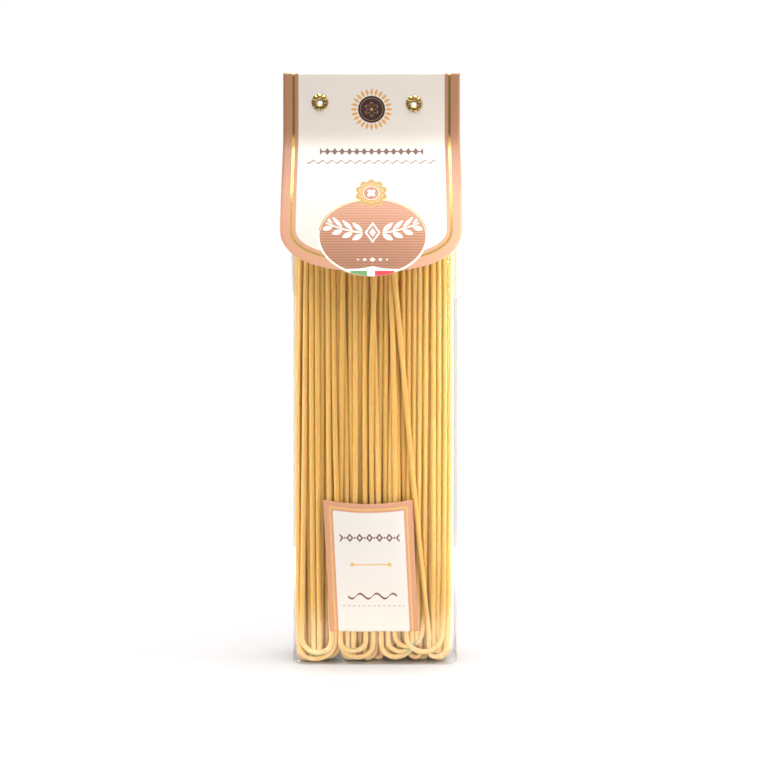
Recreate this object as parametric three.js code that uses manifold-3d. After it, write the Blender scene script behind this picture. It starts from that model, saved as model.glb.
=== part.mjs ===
import * as THREE from "three";
import Module from "manifold-3d";

const wasm = await Module();
wasm.setup();

// A clear bag of long dry pasta that stands on its folded base, closed by a folded header card.
// Millimetres. +X is to the right of the front, +Y to the back, +Z up.
// The origin is the middle of the bag's base.

// Space left between pieces that touch on the real pack
const FIT_GAP = 0.3;

// Bag with its fill: block base, straight body, gusseted shoulder, flat neck
const BAG_HALF_WIDTH = 42.6;
const BAG_HALF_DEPTH = 19.2;
const BAG_CORNER_RADIUS = 7;
const BASE_EDGE_RADIUS = 1.4;
const FILL_HEIGHT = 216;
const NECK_BOTTOM = 272;
const NECK_TOP = 306;
const NECK_HALF_THICKNESS = 0.55;
const GUSSET_DEPTH = 11;
const FACE_CROWN = 0.7;
const STRAND_RELIEF = 0.3;
const STRAND_GROUP_PITCH = 19;
const STRAND_GROUP_SWAY = 95;

// Header card: one die-cut sheet folded over the neck
const CARD_CENTRE_X = -2;
const CARD_HALF_WIDTH = 47;
const CARD_THICKNESS = 0.5;
const FOLD_TOP = 311;
const FOLD_RADIUS = 1.2;
const BEND_HEIGHT = 279;
const BEND_RADIUS = 24;
const FLARE_ANGLE = THREE.MathUtils.degToRad(24);
const SLOPE_LENGTH = 26;
const CURL_RADIUS = 150;
const HANG_ANGLE = THREE.MathUtils.degToRad(13);
const FRONT_END_LENGTH = 16.3;
const BACK_END_LENGTH = 26.2;
const BACK_CORNER_RADIUS = 6;
const BACK_SKEW = 2.6;
const CORNER_HEIGHT = 24;
const CORNER_ROUNDNESS = 2.35;
const PLAQUE_HALF_WIDTH = 28.4;
const PLAQUE_HALF_HEIGHT = 21.7;
const PLAQUE_DROP = 2.6;

// Two riveted eyelets through card and neck
const EYELET_LEFT_X = -29.5;
const EYELET_RIGHT_X = 20.6;
const EYELET_LEFT_Z = 294.9;
const EYELET_RIGHT_Z = 294.1;
const EYELET_BORE_RADIUS = 1.55;
const EYELET_BARREL_RADIUS = 2.2;
const EYELET_RIM_RADIUS = 4.5;
const EYELET_RISE = 0.9;

// Label stuck low on the front, a little askew, with a hollow top edge
const LABEL_BOTTOM_X = -0.4;
const LABEL_TOP_X = -3.8;
const LABEL_HALF_WIDTH = 22.9;
const LABEL_BOTTOM_Z = 17.5;
const LABEL_TOP_Z = 85.3;
const LABEL_TOP_HOLLOW = 2.2;
const LABEL_THICKNESS = 0.25;

const BAG_FRONT = -1;
const BAG_BACK = 1;

const EYELETS = [
  { name: "eyelet_left", x: EYELET_LEFT_X, z: EYELET_LEFT_Z },
  { name: "eyelet_right", x: EYELET_RIGHT_X, z: EYELET_RIGHT_Z },
];

function ease(t) {
  const c = THREE.MathUtils.clamp(t, 0, 1);
  return c * c * (3 - 2 * c);
}

function span(from, to, steps) {
  return Array.from({ length: steps + 1 }, (_, i) => from + ((to - from) * i) / steps);
}

// A closed body through rings of equal count, each with its front half first and its back half mirrored
function loft(rings) {
  const count = rings[0].length;
  const last = (rings.length - 1) * count;
  const index = [];
  for (let i = 0; i + 1 < rings.length; i += 1) {
    for (let j = 0; j < count; j += 1) {
      const a = i * count + j;
      const b = i * count + ((j + 1) % count);
      index.push(a, b, b + count, a, b + count, a + count);
    }
  }
  for (let j = 0; j + 1 < count / 2; j += 1) {
    const mirror = count - 1 - j;
    index.push(j, mirror, j + 1, j + 1, mirror, mirror - 1);
    index.push(last + j, last + j + 1, last + mirror);
    index.push(last + j + 1, last + mirror - 1, last + mirror);
  }
  const geometry = new THREE.BufferGeometry();
  const positions = rings.flat().flatMap((p) => [p.x, p.y, p.z]);
  geometry.setAttribute("position", new THREE.Float32BufferAttribute(positions, 3));
  geometry.setIndex(index);
  return geometry;
}

function toManifold(geometry) {
  return new wasm.Manifold(
    new wasm.Mesh({
      numProp: 3,
      vertProperties: new Float32Array(geometry.attributes.position.array),
      triVerts: new Uint32Array(geometry.index.array),
    }),
  );
}

function toGeometry(manifold) {
  const mesh = manifold.getMesh();
  const geometry = new THREE.BufferGeometry();
  geometry.setAttribute("position", new THREE.Float32BufferAttribute(mesh.vertProperties, 3));
  geometry.setIndex(Array.from(mesh.triVerts));
  geometry.computeVertexNormals();
  return geometry;
}

function withEyeletHoles(geometry) {
  const reach = 4 * (FOLD_RADIUS + CARD_THICKNESS);
  const drill = wasm.Manifold.cylinder(reach, EYELET_BARREL_RADIUS + FIT_GAP, -1, 32, true).rotate([90, 0, 0]);
  let body = toManifold(geometry);
  for (const eyelet of EYELETS) {
    body = body.subtract(drill.translate([eyelet.x, 0, eyelet.z]));
  }
  return toGeometry(body);
}

function bagHalfDepth(z) {
  const rise = ease((z - FILL_HEIGHT) / (NECK_BOTTOM - FILL_HEIGHT));
  return THREE.MathUtils.lerp(BAG_HALF_DEPTH, NECK_HALF_THICKNESS, rise);
}

function bagCornerRadius(z) {
  return Math.min(BAG_CORNER_RADIUS, 0.6 * bagHalfDepth(z));
}

// How far the bundles of strands push a face of the bag out past its straight line
function bagSwell(x, z, side) {
  const edge = BAG_HALF_WIDTH - bagCornerRadius(z);
  const across = Math.max(1 - (x / edge) ** 4, 0);
  const filled = ease(z / 14) * (1 - ease((z - FILL_HEIGHT) / (NECK_BOTTOM - FILL_HEIGHT)));
  const sway = Math.sin(z / STRAND_GROUP_SWAY + side);
  const groups = Math.sin((2 * Math.PI * x) / STRAND_GROUP_PITCH + 2 * side + sway);
  return filled * across * (FACE_CROWN * (1 - (x / edge) ** 2) + STRAND_RELIEF * groups);
}

function bagRing(z, inset) {
  const a = BAG_HALF_WIDTH - inset;
  const b = bagHalfDepth(z) - inset;
  const r = bagCornerRadius(z);
  const shoulder = (z - FILL_HEIGHT) / (NECK_BOTTOM - FILL_HEIGHT);
  const fold = GUSSET_DEPTH * Math.sin(Math.PI * THREE.MathUtils.clamp(shoulder, 0, 1)) ** 2;
  const sideSteps = [0.15, 0.6, 1];
  const corner = span(0, Math.PI / 2, 4).slice(1);
  const half = (side) => {
    const out = [];
    for (const share of sideSteps) {
      out.push([-a + fold * (1 - share), (b - r) * share]);
    }
    for (const angle of corner) {
      out.push([-(a - r) - r * Math.cos(angle), b - r + r * Math.sin(angle)]);
    }
    for (const x of span(-(a - r), a - r, 18).slice(1)) {
      out.push([x, b + bagSwell(x, z, side)]);
    }
    for (const angle of corner) {
      out.push([a - r + r * Math.sin(angle), b - r + r * Math.cos(angle)]);
    }
    for (const share of sideSteps.slice(0, -1).reverse()) {
      out.push([a - fold * (1 - share), (b - r) * share]);
    }
    return out.map(([x, y]) => new THREE.Vector3(x, side * y, z));
  };
  return [...half(BAG_FRONT), ...half(BAG_BACK).reverse()];
}

function makeBag() {
  const rings = span(0, Math.PI / 2, 3).map((angle) => {
    const inset = BASE_EDGE_RADIUS * (1 - Math.sin(angle));
    return bagRing(BASE_EDGE_RADIUS * (1 - Math.cos(angle)), inset);
  });
  const body = span(BASE_EDGE_RADIUS, FILL_HEIGHT, 22).slice(1);
  const shoulder = span(FILL_HEIGHT, NECK_BOTTOM, 10).slice(1);
  rings.push(...[...body, ...shoulder, NECK_TOP].map((z) => bagRing(z, 0)));
  return withEyeletHoles(loft(rings));
}

// The middle of the card's thickness seen from the side, walked from the top of the fold down one flap.
// Each step has its distance from the fold, its distance out from the middle plane, its height and its lean.
function flapPath(endLength) {
  const path = [];
  let along = 0;
  let out = 0;
  let height = FOLD_TOP - CARD_THICKNESS / 2;
  let lean = Math.PI / 2;
  const walk = (length, turn, steps) => {
    for (let i = 0; i < steps; i += 1) {
      path.push({ along, out, height, lean });
      const middle = lean + turn / steps / 2;
      const bow = turn / steps / 2;
      const chord = bow === 0 ? length / steps : ((length / steps) * Math.sin(bow)) / bow;
      out += chord * Math.sin(middle);
      height -= chord * Math.cos(middle);
      along += length / steps;
      lean += turn / steps;
    }
  };
  walk((FOLD_RADIUS * Math.PI) / 2, -Math.PI / 2, 4);
  walk(height - BEND_HEIGHT, 0, 2);
  walk(BEND_RADIUS * FLARE_ANGLE, FLARE_ANGLE, 6);
  walk(SLOPE_LENGTH, 0, 2);
  walk(CURL_RADIUS * (FLARE_ANGLE - HANG_ANGLE), HANG_ANGLE - FLARE_ANGLE, 12);
  walk(endLength, 0, 14);
  path.push({ along, out, height, lean });
  return path;
}

// Half widths of the sheet, each by height above the lower edge of its flap
function frontHalfWidth(rise) {
  if (rise <= 0) {
    return 0;
  }
  const drop = Math.max(1 - rise / CORNER_HEIGHT, 0);
  return CARD_HALF_WIDTH * (1 - drop ** CORNER_ROUNDNESS) ** (1 / CORNER_ROUNDNESS);
}

function backHalfWidth(rise) {
  const drop = Math.max(BACK_CORNER_RADIUS - rise, 0);
  return CARD_HALF_WIDTH - BACK_CORNER_RADIUS + Math.sqrt(BACK_CORNER_RADIUS ** 2 - drop ** 2);
}

function plaqueHalfWidth(rise) {
  const level = (rise + PLAQUE_DROP - PLAQUE_HALF_HEIGHT) / PLAQUE_HALF_HEIGHT;
  return PLAQUE_HALF_WIDTH * Math.sqrt(Math.max(1 - level * level, 0));
}

function cardRing(step, centreX, halfWidth, side) {
  const ring = [];
  for (const [x, face] of [[-1, 1], [1, 1], [1, -1], [-1, -1]]) {
    const offset = (face * CARD_THICKNESS) / 2;
    ring.push(
      new THREE.Vector3(
        centreX + x * halfWidth,
        side * (step.out + offset * Math.cos(step.lean)),
        step.height + offset * Math.sin(step.lean),
      ),
    );
  }
  return ring;
}

function makeHeaderCard() {
  const narrowest = 2;
  const front = flapPath(FRONT_END_LENGTH + PLAQUE_DROP);
  const frontEnd = front.at(-1).along - PLAQUE_DROP;
  const frontRings = front.map((step) => {
    const rise = frontEnd - step.along;
    const halfWidth = Math.max(frontHalfWidth(rise), plaqueHalfWidth(rise), narrowest);
    return cardRing(step, CARD_CENTRE_X, halfWidth, BAG_FRONT);
  });
  const back = flapPath(BACK_END_LENGTH);
  const backEnd = back.at(-1).along;
  const backRings = back.slice(1).map((step) => {
    const centreX = CARD_CENTRE_X + BACK_SKEW * ease(step.along / backEnd);
    return cardRing(step, centreX, backHalfWidth(Math.max(backEnd - step.along, 0)), BAG_BACK);
  });
  return withEyeletHoles(loft([...frontRings.reverse(), ...backRings]));
}

function makeEyelet(x, z) {
  const seat = FOLD_RADIUS + CARD_THICKNESS / 2 + FIT_GAP;
  const middle = (EYELET_BORE_RADIUS + EYELET_RIM_RADIUS) / 2;
  const reach = (EYELET_RIM_RADIUS - EYELET_BORE_RADIUS) / 2;
  const dome = span(0, Math.PI, 8);
  const profile = [new THREE.Vector2(EYELET_BARREL_RADIUS, -seat)];
  for (const angle of dome) {
    const r = middle + reach * Math.cos(angle);
    profile.push(new THREE.Vector2(r, -seat - EYELET_RISE * Math.sin(angle)));
  }
  for (const angle of [...dome].reverse()) {
    const r = middle + reach * Math.cos(angle);
    profile.push(new THREE.Vector2(r, seat + EYELET_RISE * Math.sin(angle)));
  }
  profile.push(new THREE.Vector2(EYELET_BARREL_RADIUS, seat), profile[0].clone());
  return new THREE.LatheGeometry(profile.reverse(), 24).translate(x, 0, z);
}

function makeLabel() {
  const rings = span(0, 1, 16).map((rise) => {
    const centre = THREE.MathUtils.lerp(LABEL_BOTTOM_X, LABEL_TOP_X, rise);
    const points = (gap) =>
      span(-1, 1, 12).map((across) => {
        const x = centre + LABEL_HALF_WIDTH * across;
        const hollow = LABEL_TOP_HOLLOW * (1 - across * across) * rise ** 4;
        const z = THREE.MathUtils.lerp(LABEL_BOTTOM_Z, LABEL_TOP_Z, rise) - hollow;
        return new THREE.Vector3(x, -bagHalfDepth(z) - bagSwell(x, z, BAG_FRONT) - gap, z);
      });
    return [...points(FIT_GAP + LABEL_THICKNESS), ...points(FIT_GAP).reverse()];
  });
  return loft(rings);
}

const film = new THREE.MeshStandardMaterial({ color: 0xd9a55c, roughness: 0.45, metalness: 0 });
const board = new THREE.MeshStandardMaterial({ color: 0xf1e6d8, roughness: 0.6, metalness: 0 });
const paper = new THREE.MeshStandardMaterial({ color: 0xf3ece0, roughness: 0.6, metalness: 0 });
const brass = new THREE.MeshStandardMaterial({ color: 0xa98a4f, roughness: 0.35, metalness: 1 });

function piece(name, geometry, material) {
  const mesh = new THREE.Mesh(geometry, material);
  mesh.name = name;
  return mesh;
}

const pack = new THREE.Group();
pack.name = "pasta_pack";
pack.add(piece("bag", makeBag(), film));
pack.add(piece("header_card", makeHeaderCard(), board));
for (const eyelet of EYELETS) {
  pack.add(piece(eyelet.name, makeEyelet(eyelet.x, eyelet.z), brass));
}
pack.add(piece("label", makeLabel(), paper));

export default pack;
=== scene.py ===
"""A clear bag of long dry spaghetti with a folded header card, laid out as a Blender add-on."""

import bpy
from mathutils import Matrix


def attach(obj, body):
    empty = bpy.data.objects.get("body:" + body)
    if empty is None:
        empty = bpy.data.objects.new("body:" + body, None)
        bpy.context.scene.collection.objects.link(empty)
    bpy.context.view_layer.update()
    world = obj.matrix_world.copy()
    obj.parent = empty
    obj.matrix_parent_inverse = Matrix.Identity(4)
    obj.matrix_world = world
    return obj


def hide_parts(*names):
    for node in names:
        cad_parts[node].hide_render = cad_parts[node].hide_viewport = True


bl_info = {
    "name": "Spaghetti Pack",
    "version": (1, 0, 0),
    "blender": (4, 5, 0),
    "location": "3D View > Sidebar > Spaghetti Pack",
    "description": "Builds a clear bag of long dry spaghetti that a folded header card closes",
    "category": "Object",
}

import itertools
import math

import bmesh
import bpy
import numpy as np
from bpy.props import FloatProperty, FloatVectorProperty, IntProperty, PointerProperty
from mathutils import Vector, noise

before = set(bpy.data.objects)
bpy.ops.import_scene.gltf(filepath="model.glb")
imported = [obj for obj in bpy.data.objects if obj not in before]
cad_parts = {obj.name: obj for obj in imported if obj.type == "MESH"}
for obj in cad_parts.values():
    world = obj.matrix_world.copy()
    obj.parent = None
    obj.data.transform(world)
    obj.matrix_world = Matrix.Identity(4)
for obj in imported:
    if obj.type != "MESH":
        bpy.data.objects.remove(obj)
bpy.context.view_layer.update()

FRONT = -1
BACK = 1
MM = 0.001


def srgb(red, green, blue):
    """A colour given as a paint chart gives it, 0 to 255, in the linear values that shaders use."""
    shares = (channel / 255 for channel in (red, green, blue))
    return tuple(s / 12.92 if s <= 0.04045 else ((s + 0.055) / 1.055) ** 2.4 for s in shares)


def length(name, description, default):
    return FloatProperty(name=name, description=description, default=default, unit="LENGTH", precision=5)


def angle(name, description, degrees):
    return FloatProperty(name=name, description=description, default=math.radians(degrees), subtype="ANGLE")


def factor(name, description, default):
    return FloatProperty(name=name, description=description, default=default, min=0.0, subtype="FACTOR")


def colour(name, description, default):
    return FloatVectorProperty(
        name=name, description=description, default=default, subtype="COLOR", min=0, max=1
    )


def spot(name, description, default):
    return FloatVectorProperty(name=name, description=description, default=default, size=2, unit="LENGTH")


# Sizes and colours


class BagSizes(bpy.types.PropertyGroup):
    """The clear bag, measured over the film."""

    half_width: length("Half Width", "From the middle of the bag to its side", 0.0426)
    half_depth: length("Half Depth", "From the middle of the bag to its straight front", 0.0192)
    corner_radius: length("Corner Radius", "Round of the four upright edges", 0.007)
    base_radius: length("Base Radius", "Round of the edge that the bag stands on", 0.0014)
    fill_height: length("Fill Height", "Height where the shoulder starts", 0.216)
    neck_bottom: length("Neck Bottom", "Height where the film is pressed flat", 0.272)
    neck_top: length("Neck Top", "Upper end of the film, inside the card's fold", 0.306)
    neck_half_thickness: length("Neck Half Thickness", "Half of the flat neck's thickness", 0.00055)
    gusset_depth: length("Gusset Depth", "How far the sides fold in at the shoulder", 0.011)
    face_crown: length("Face Crown", "How far the fill rounds the front and the back", 0.0007)
    strand_relief: length("Strand Relief", "How far groups of strands push the film out", 0.0003)
    group_pitch: length("Group Pitch", "Width of one group of strands", 0.019)
    group_sway: length("Group Sway", "Height over which the groups wander", 0.095)


class StrandSizes(bpy.types.PropertyGroup):
    """The hairpin strands."""

    diameter: length("Diameter", "Thickness of one strand", 0.0027)
    columns: IntProperty(name="Columns", description="Stacks of hairpins side by side", default=4, min=1)
    layers: IntProperty(name="Layers", description="Hairpins from front to back", default=12, min=1)
    top: length("Top", "Mean height of the cut ends", 0.227)
    lean: length("Lean", "How far a strand wanders sideways on its way up", 0.0019)
    slack: length("Slack", "Room between the strands and the sides of the bag", 0.0010)
    shift: length("Shift", "Sideways drift of the strands in the bag", -0.0009)
    stray_foot: length("Stray Foot", "Where the stray front strand starts, from the middle", 0.0290)
    stray_head: length("Stray Head", "Where the stray front strand ends, from the middle", 0.0080)
    seed: IntProperty(name="Seed", description="Picks another arrangement of the strands", default=3)


class CardSizes(bpy.types.PropertyGroup):
    """The die-cut header card and the way it hangs."""

    centre: length("Centre", "Middle of the card, sideways from the middle of the bag", -0.002)
    half_width: length("Half Width", "Half the width of the sheet", 0.047)
    thickness: length("Thickness", "Thickness of the board", 0.00045)
    fold_top: length("Fold Top", "Height of the fold", 0.311)
    fold_radius: length("Fold Radius", "Round of the fold at the middle of the board", 0.0012)
    bend_height: length("Bend Height", "Height where the flaps leave the neck", 0.279)
    bend_radius: length("Bend Radius", "Round of the bend over the shoulder", 0.024)
    flare_angle: angle("Flare Angle", "Slope of the flaps over the shoulder", 24)
    slope_length: length("Slope Length", "Straight run over the shoulder", 0.026)
    curl_radius: length("Curl Radius", "Round of the flaps as they turn down again", 0.150)
    hang_angle: angle("Hang Angle", "Slope of the lower ends", 13)
    front_end: length("Front End", "Straight lower end of the front flap", 0.0163)
    back_end: length("Back End", "Straight lower end of the back flap", 0.0262)
    corner_height: length("Corner Height", "Height of the rounded front corners", 0.024)
    corner_roundness: factor("Corner Roundness", "2 for an ellipse, more for a squarer corner", 2.35)
    back_corner: length("Back Corner", "Corner radius of the back flap", 0.006)
    back_skew: length("Back Skew", "Sideways drift of the back flap", 0.0026)
    bow: length("Bow", "How far the flaps' sides lag behind their middle", 0.0009)
    plaque_half_width: length("Plaque Half Width", "Half the width of the oval plaque", 0.0284)
    plaque_half_height: length("Plaque Half Height", "Half the height of the oval plaque", 0.0217)
    plaque_drop: length("Plaque Drop", "How far the oval stands below the front edge", 0.0026)


class EyeletSizes(bpy.types.PropertyGroup):
    """The two riveted eyelets."""

    left: spot("Left", "Place of the left eyelet, across and up", (-0.0295, 0.2949))
    right: spot("Right", "Place of the right eyelet, across and up", (0.0206, 0.2941))
    bore: length("Bore Radius", "Clear radius of the hole", 0.00155)
    barrel: length("Barrel Radius", "Outer radius of the tube through the card", 0.0022)
    rim: length("Rim Radius", "Outer radius of the splayed petals", 0.0045)
    rise: length("Rise", "Height of the petals over the card", 0.0009)
    petals: IntProperty(name="Petals", description="Petals that the tube splits into", default=9, min=3)


class LabelSizes(bpy.types.PropertyGroup):
    """The paper label on the front of the bag."""

    bottom_centre: length("Bottom Centre", "Middle of the lower edge, from the middle of the bag", -0.0004)
    top_centre: length("Top Centre", "Middle of the upper edge, from the middle of the bag", -0.0038)
    half_width: length("Half Width", "Half the width of the label", 0.0229)
    bottom: length("Bottom", "Height of the lower edge", 0.0175)
    top: length("Top", "Height of the upper corners", 0.0853)
    hollow: length("Hollow", "Dip of the upper edge between its corners", 0.0022)
    thickness: length("Thickness", "Thickness of the paper", 0.00012)


class Finishes(bpy.types.PropertyGroup):
    """Colours of the pieces."""

    pasta: colour("Pasta", "Pasta, as most strands show it", srgb(219, 179, 103))
    pasta_deep: colour("Pasta Deep", "Darker, yellower strands", srgb(213, 166, 81))
    # Flour is the pasta's pale bloom, and also painted light on the lowest strands.
    flour_and_painted_light: colour("Flour", "Pale bloom on the strands", srgb(247, 213, 164))
    cream: colour("Cream", "Board of the card", srgb(229, 219, 208))
    paper: colour("Paper", "Paper of the label", srgb(208, 202, 196))
    rose: colour("Rose", "Printed border of card and label", srgb(184, 129, 97))
    # Rose Pale is painted light on the card's flaps, where they slope out under the top light; on the label
    # it is paler fibre, and on the oval it is the upper field.
    rose_pale_and_lit: colour("Rose Pale", "Printed border where it has faded", srgb(207, 151, 120))
    rose_dark: colour("Rose Dark", "Fine lines of the oval plaque", srgb(140, 92, 76))
    gold: colour("Gold", "Gold foil", srgb(226, 190, 112))
    straw: colour("Straw", "Gold ink of the small rosette", srgb(205, 165, 96))
    copper: colour("Copper", "Copper-gold ornaments", srgb(222, 164, 98))
    plum: colour("Plum", "Dark disc of the rosette", srgb(52, 28, 28))
    brown: colour("Brown", "Fine printed ornaments", srgb(104, 70, 56))
    white: colour("White", "White print", srgb(250, 247, 240))
    leaf_green: colour("Green", "Green stripe", srgb(112, 158, 100))
    brick_red: colour("Red", "Red stripe", srgb(222, 66, 74))
    brass: colour("Brass", "Brass where it is bright", srgb(196, 164, 104))
    patina: colour("Patina", "Brass where it has darkened", srgb(86, 62, 32))
    floor: colour("Floor", "Studio floor round the pack", srgb(183, 182, 183))
    # Floor Edge is painted light: the far part of the floor is painted this lighter colour so that it shows
    # as white as the room.
    floor_edge: colour("Floor Edge", "Studio floor towards its edge", srgb(240, 240, 240))


# Shader expressions


class Value:
    """A socket in a material, or what arithmetic on one gives. Each operation adds a Math node."""

    def __init__(self, finish, socket):
        self.finish = finish
        self.socket = socket

    def math(self, operation, *inputs, clamp=False):
        settings = {"operation": operation, "use_clamp": clamp}
        return self.finish.node("ShaderNodeMath", settings, dict(enumerate(inputs)))

    def other(self, output):
        """Another output of the same node."""
        return Value(self.finish, self.socket.node.outputs[output])

    def __add__(self, other):
        return self.math("ADD", self, other)

    def __radd__(self, other):
        return self.math("ADD", other, self)

    def __sub__(self, other):
        return self.math("SUBTRACT", self, other)

    def __rsub__(self, other):
        return self.math("SUBTRACT", other, self)

    def __mul__(self, other):
        return self.math("MULTIPLY", self, other)

    def __rmul__(self, other):
        return self.math("MULTIPLY", other, self)

    def __truediv__(self, other):
        return self.math("DIVIDE", self, other)

    def __rtruediv__(self, other):
        return self.math("DIVIDE", other, self)

    def __pow__(self, other):
        return self.math("POWER", self, other)

    def __abs__(self):
        return self.math("ABSOLUTE", self)

    def root(self):
        return self.math("SQRT", self)

    def sine(self):
        return self.math("SINE", self)

    def bearing(self, other):
        """The angle of the point (other, self) round the origin."""
        return self.math("ARCTAN2", self, other)

    def least(self, other):
        return self.math("MINIMUM", self, other)

    def most(self, other):
        return self.math("MAXIMUM", self, other)

    def wrapped(self, period):
        """Runs from minus to plus half a period, again and again."""
        return self.math("WRAP", self, 0.5 * period, -0.5 * period)

    def clamped(self):
        return self.math("ADD", self, 0.0, clamp=True)

    def over(self, low, high):
        """0 below low, 1 above high."""
        return self.finish.node("ShaderNodeMapRange", None, {0: self, 1: low, 2: high})

    def inside(self, soft=0.14):
        """1 where a signed distance is below 0, with a soft edge."""
        return self.over(0.5 * soft, -0.5 * soft)


class Finish:
    """A material, or the world, and the nodes that are added to it."""

    def __init__(self, owner):
        self.owner = owner
        owner.use_nodes = True
        self.tree = owner.node_tree
        self.tree.nodes.clear()

    def node(self, kind, settings=None, inputs=None, output=0):
        """Adds a node: its settings, then the values or links of its sockets. Gives one of its outputs."""
        made = self.tree.nodes.new(kind)
        for key, value in (settings or {}).items():
            setattr(made, key, value)
        for key, value in (inputs or {}).items():
            if isinstance(value, Value):
                self.tree.links.new(value.socket, made.inputs[key])
            else:
                made.inputs[key].default_value = value
        return Value(self, made.outputs[output])

    def attribute(self, name, output="Vector"):
        return self.node("ShaderNodeAttribute", {"attribute_name": name}, output=output)

    def split(self, vector):
        """The three parts of a vector."""
        x = self.node("ShaderNodeSeparateXYZ", None, {0: vector})
        return x, x.other(1), x.other(2)

    def stretch(self, vector, factors):
        return self.node("ShaderNodeVectorMath", {"operation": "MULTIPLY"}, {0: vector, 1: factors})

    def speckle(self, vector, scale, detail=2.0, roughness=0.5):
        sockets = {"Vector": vector, "Scale": scale, "Detail": detail, "Roughness": roughness}
        return self.node("ShaderNodeTexNoise", None, sockets)

    def mix(self, mask, low, high):
        low, high = (c if isinstance(c, Value) else (*c, 1.0) for c in (low, high))
        return self.node("ShaderNodeMix", {"data_type": "RGBA"}, {0: mask, 6: low, 7: high}, output=2)

    def bump(self, height, distance, strength=1.0):
        sockets = {"Height": height, "Distance": distance, "Strength": strength}
        return self.node("ShaderNodeBump", None, sockets)

    def principled(self, **sockets):
        """A material of one principled shader. Its sockets are named in small letters with underscores."""
        inputs = {key.replace("_", " ").title().replace("Ior", "IOR"): sockets[key] for key in sockets}
        return self.show(self.node("ShaderNodeBsdfPrincipled", None, inputs))

    def show(self, surface, output="ShaderNodeOutputMaterial"):
        made = self.tree.nodes.new(output)
        self.tree.links.new(surface.socket, made.inputs["Surface"])
        return self.owner


# Shapes that several pieces share


def ease(t):
    t = np.clip(t, 0.0, 1.0)
    return t * t * (3.0 - 2.0 * t)


class BagForm:
    """The outline of the filled bag at any height."""

    FILLED_FROM = 0.014

    def __init__(self, sizes):
        self.sizes = sizes

    def shoulder(self, z):
        s = self.sizes
        return (z - s.fill_height) / (s.neck_bottom - s.fill_height)

    def half_depth(self, z):
        s = self.sizes
        return s.half_depth + (s.neck_half_thickness - s.half_depth) * ease(self.shoulder(z))

    def corner_radius(self, z):
        return np.minimum(self.sizes.corner_radius, 0.6 * self.half_depth(z))

    def swell(self, x, z, side):
        """How far the strands push the front or the back out past its straight line."""
        s = self.sizes
        edge = s.half_width - self.corner_radius(z)
        across = np.maximum(1 - (x / edge) ** 4, 0)
        filled = ease(z / self.FILLED_FROM) * (1 - ease(self.shoulder(z)))
        sway = np.sin(z / s.group_sway + side)
        groups = np.sin(2 * math.pi * x / s.group_pitch + 2 * side + sway)
        return filled * across * (s.face_crown * (1 - (x / edge) ** 2) + s.strand_relief * groups)

    def face(self, x, z, side):
        return side * (self.half_depth(z) + self.swell(x, z, side))


def new_piece(name, points, faces, material, stands_for):
    """A mesh piece that rides on the pack in place of CAD nodes."""
    mesh = bpy.data.meshes.new(name)
    mesh.from_pydata(np.asarray(points, dtype=float).tolist(), [], faces)
    mesh.update()
    mesh.polygons.foreach_set("use_smooth", [True] * len(mesh.polygons))
    mesh.materials.append(material)
    piece = bpy.data.objects.new(name, mesh)
    bpy.context.scene.collection.objects.link(piece)
    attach(piece, "root")
    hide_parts(*stands_for)
    return piece


def store(piece, name, kind, values):
    """Keeps a number or a vector on each vertex for the material to read."""
    layer = piece.data.attributes.new(name, kind, "POINT")
    layer.data.foreach_set("value" if kind == "FLOAT" else "vector", np.ravel(values).astype(np.float32))


def grid_faces(rows, columns, wrap=False):
    """Quads of a grid of points, row after row. A wrapped grid closes on itself across its columns."""
    steps = columns if wrap else columns - 1
    faces = []
    for i in range(rows - 1):
        for j in range(steps):
            k = (j + 1) % columns
            faces.append((i * columns + j, i * columns + k, (i + 1) * columns + k, (i + 1) * columns + j))
    return faces


# Strands


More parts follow.
